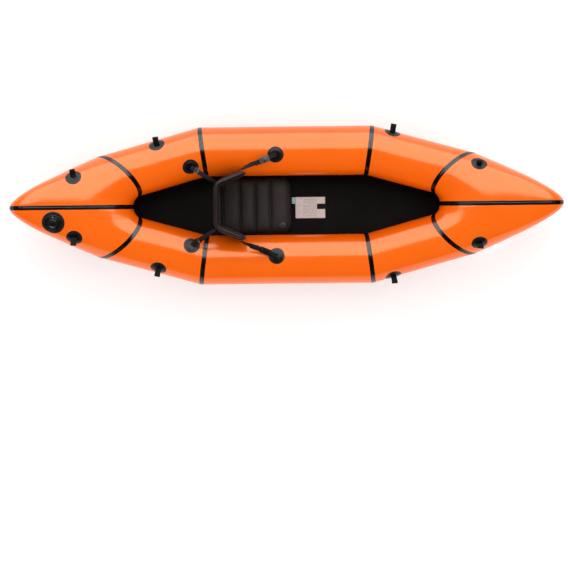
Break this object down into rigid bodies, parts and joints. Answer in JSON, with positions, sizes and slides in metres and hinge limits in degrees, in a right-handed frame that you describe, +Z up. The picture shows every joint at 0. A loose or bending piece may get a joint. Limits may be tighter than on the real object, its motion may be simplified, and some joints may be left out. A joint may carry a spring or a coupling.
{
  "type": "inflatable kayak",
  "caption": "One-person inflatable kayak: pointed ring of welded air tubes with floor, ribbed seat, strapped backrest, loops, valve and slide-in skeg.",
  "frame": {"origin": "centre of the floor's underside", "axes": "+X to the bow, +Y to port, +Z up"},
  "size_m": [2.4492, 0.7084, 0.378],
  "materials": {
    "tube_fabric": "satin",
    "seam_tape": "satin",
    "floor_fabric": "matte",
    "patch_fabric": "satin",
    "webbing": "matte",
    "seat_fabric": "matte",
    "back_fabric": "matte",
    "buckle_plastic": "satin",
    "valve_plastic": "satin",
    "valve_rubber": "matte",
    "skeg_plastic": "satin",
    "card_stock": "satin",
    "tag_stock": "matte"
  },
  "bodies": {
    "hull": {"bow_port_panel": "tube_fabric", "bow_starboard_panel": "tube_fabric", "stern_port_panel": "tube_fabric", "stern_starboard_panel": "tube_fabric", "fore_quarter_port_panel": "tube_fabric", "fore_quarter_starboard_panel": "tube_fabric", "aft_quarter_port_panel": "tube_fabric", "aft_quarter_starboard_panel": "tube_fabric", "mid_port_panel": "tube_fabric", "mid_starboard_panel": "tube_fabric", "mid_ring_tapes": "seam_tape", "bow_ring_tapes": "seam_tape", "stern_ring_tapes": "seam_tape", "bow_centre_tape": "seam_tape", "stern_centre_tape": "seam_tape", "floor_sheet": "floor_fabric", "floor_stern_sheet": "floor_fabric", "floor_edge_port": "floor_fabric", "floor_edge_starboard": "floor_fabric", "quarter_loop_patches": "patch_fabric", "end_loop_patches": "patch_fabric", "webbing_loops": "webbing", "strap_patches": "patch_fabric", "valve_patch": "patch_fabric", "valve_base": "valve_plastic", "valve_insert": "valve_plastic", "cap_tether": "valve_rubber", "seat_cushion": "seat_fabric", "seat_grip_strips": "webbing", "seat_valve": "valve_plastic", "strap_anchor_tabs": "webbing", "fore_strap_port": "webbing", "fore_strap_starboard": "webbing", "aft_straps": "webbing", "aft_buckles": "buckle_plastic", "fore_buckle_sockets": "buckle_plastic", "skeg_base": "skeg_plastic", "floor_card": "card_stock", "floor_card_tag": "tag_stock", "floor_card_tab": "webbing"},
    "backrest": {"backrest_pad": "back_fabric", "backrest_piping": "back_fabric", "backrest_band": "webbing", "backrest_valve": "valve_plastic"},
    "backrest_nozzle": {"backrest_valve_nozzle": "valve_plastic"},
    "seat_nozzle": {"seat_valve_nozzle": "valve_plastic"},
    "cap_ring": {"cap_ring": "valve_rubber"},
    "valve_cap": {"valve_cap": "valve_plastic"},
    "valve_flap": {"valve_flap": "valve_rubber"},
    "skeg": {"skeg": "skeg_plastic"},
    "fore_plug_port": {"fore_buckle_plug_port": "buckle_plastic", "fore_lead_port": "webbing"},
    "fore_plug_starboard": {"fore_buckle_plug_starboard": "buckle_plastic", "fore_lead_starboard": "webbing"}
  },
  "joints": [
    {"name": "backrest_tilt", "type": "hinge", "parent": "hull", "child": "backrest", "pos_m": [-0.2, 0, 0.262], "axis": [0, 1, 0], "range_deg": [-20, 20], "deforming": ["fore_strap_port", "fore_strap_starboard", "aft_straps"]},
    {"name": "fore_buckle_port_release", "type": "slide", "parent": "hull", "child": "fore_plug_port", "axis": [-0.8898, -0.3849, 0.2453], "range_m": [0, 0.024], "deforming": ["fore_strap_port"]},
    {"name": "fore_buckle_starboard_release", "type": "slide", "parent": "hull", "child": "fore_plug_starboard", "axis": [-0.8898, 0.3849, 0.2453], "range_m": [0, 0.024], "deforming": ["fore_strap_starboard"]},
    {"name": "cap_turn", "type": "hinge", "parent": "cap_ring", "child": "valve_cap", "pos_m": [-1.02432, -0.06667, 0.27295], "axis": [-0.008, -0.2497, 0.9683], "range_deg": [0, 540]},
    {"name": "cap_rise", "type": "slide", "parent": "hull", "child": "cap_ring", "axis": [-0.008, -0.2497, 0.9683], "range_m": [0, 0.006], "deforming": ["cap_tether"]},
    {"name": "flap_open", "type": "slide", "parent": "hull", "child": "valve_flap", "axis": [0.008, 0.2497, -0.9683], "range_m": [0, 0.004], "stiffness_N_per_m": 60},
    {"name": "skeg_slide", "type": "slide", "parent": "hull", "child": "skeg", "axis": [-1, 0, 0], "range_m": [0, 0.15]},
    {"name": "seat_nozzle_pull", "type": "slide", "parent": "hull", "child": "seat_nozzle", "axis": [0, 0, 1], "range_m": [0, 0.005]},
    {"name": "backrest_nozzle_pull", "type": "slide", "parent": "backrest", "child": "backrest_nozzle", "axis": [-1, 0, 0], "range_m": [0, 0.005]}
  ],
  "couplings": [
    {"joint": "cap_rise", "follows": "cap_turn", "m_per_rad": 0.00063662}
  ]
}
